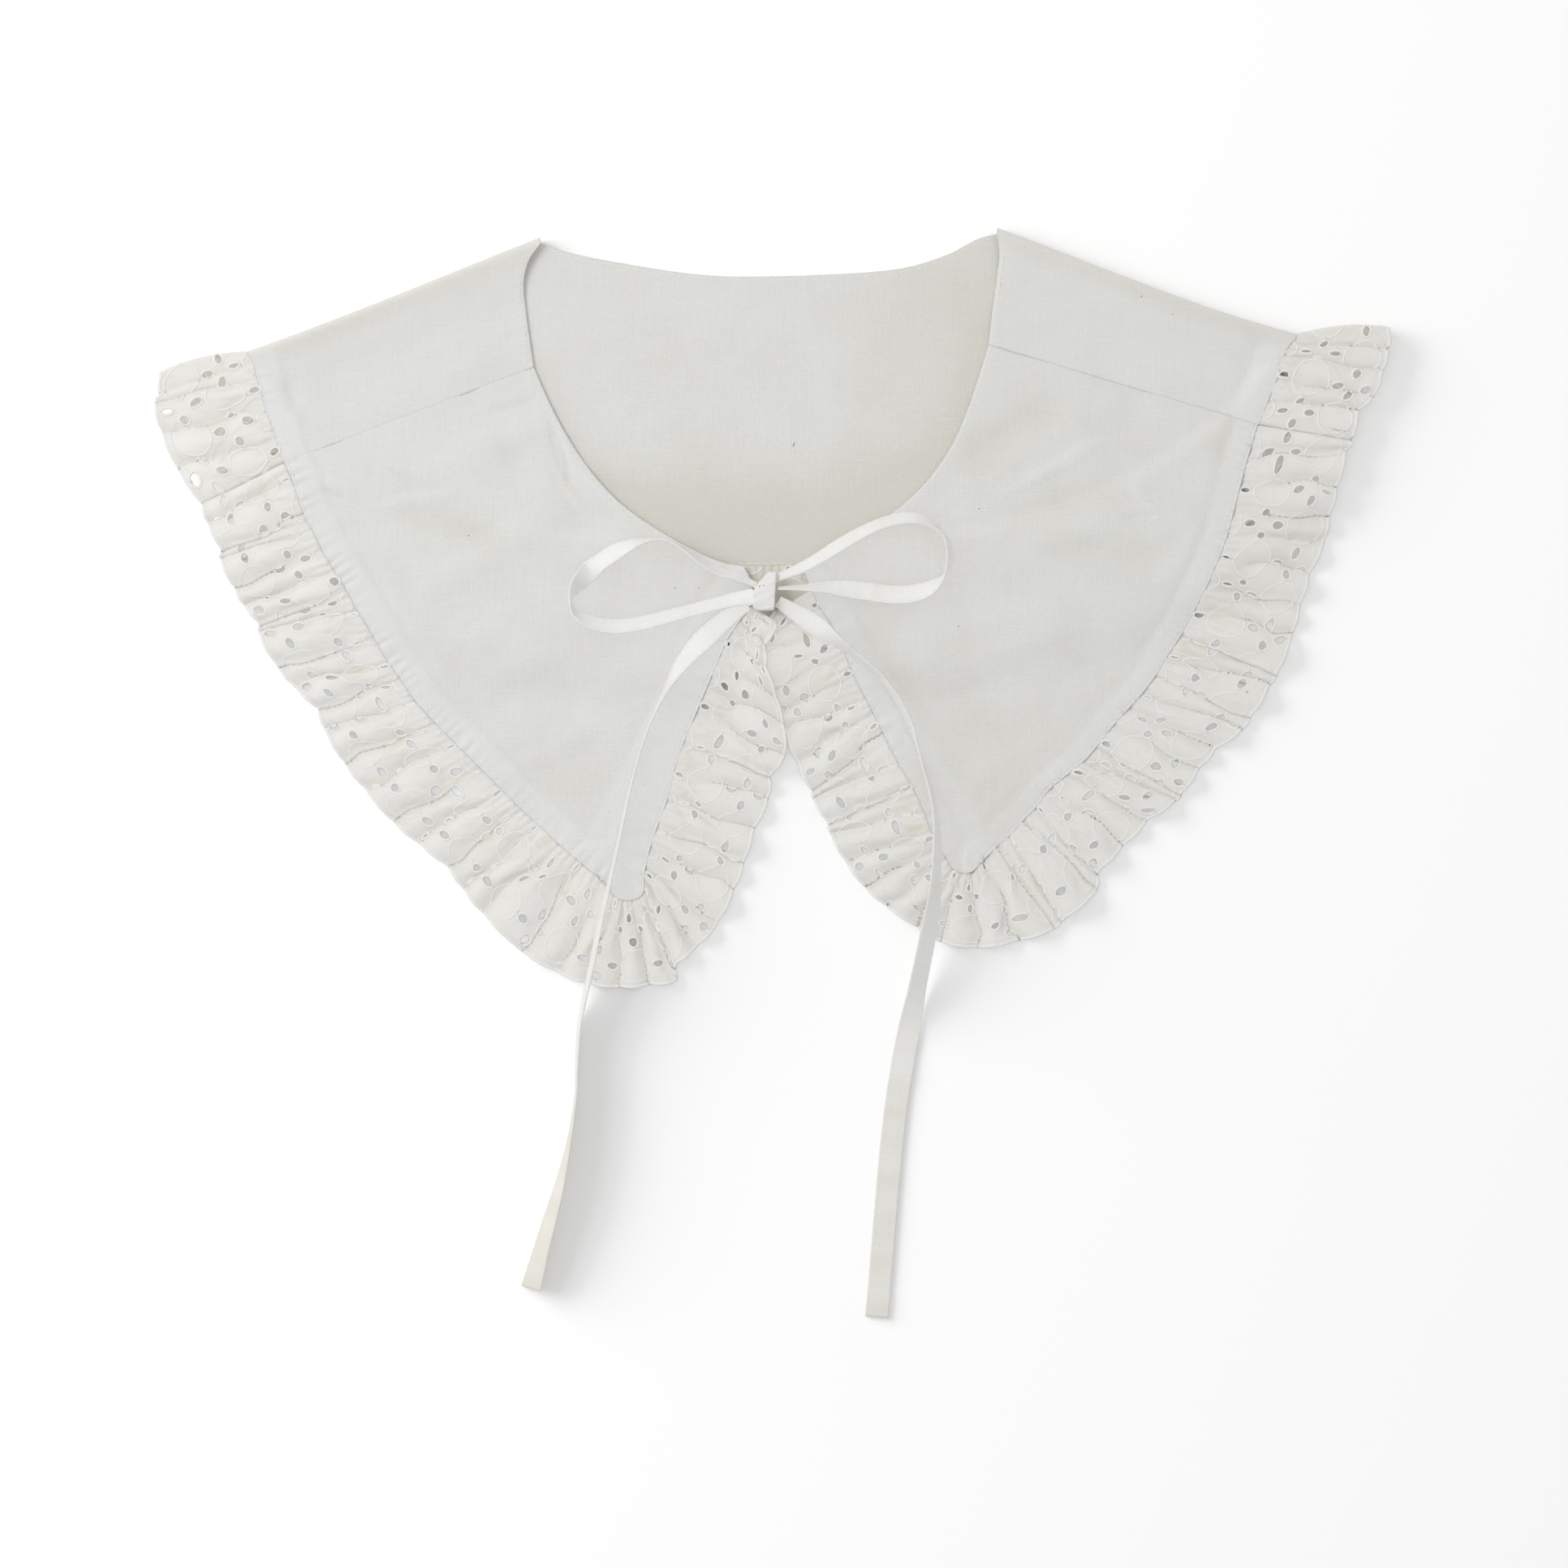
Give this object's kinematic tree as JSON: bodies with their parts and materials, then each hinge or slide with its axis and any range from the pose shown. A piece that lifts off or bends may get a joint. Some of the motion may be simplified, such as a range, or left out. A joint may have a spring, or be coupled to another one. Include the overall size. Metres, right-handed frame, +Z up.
{
  "type": "lace collar",
  "caption": "Detachable white cotton collar with pointed fronts, a gathered eyelet ruffle and a tied bow, laid flat.",
  "frame": {"origin": "middle of the collar's outline without its tie tails, on the surface that it lies on", "axes": "+X to the right and +Y towards the back of the neck, seen from above, +Z up from the surface"},
  "size_m": [0.4054, 0.3581, 0.0124],
  "materials": {
    "cotton": "matt woven cotton",
    "eyelet_lace": "matt embroidered cotton",
    "tie_cotton": "pressed woven cotton"
  },
  "bodies": {
    "root": {"back_panel": "cotton", "front_left": "cotton", "front_right": "cotton", "ruffle_back": "eyelet_lace", "ruffle_left": "eyelet_lace", "ruffle_right": "eyelet_lace", "bow_knot": "tie_cotton", "bow_loop_left": "tie_cotton", "bow_loop_right": "tie_cotton", "tie_tail_left": "tie_cotton", "tie_tail_right": "tie_cotton"}
  },
  "joints": []
}
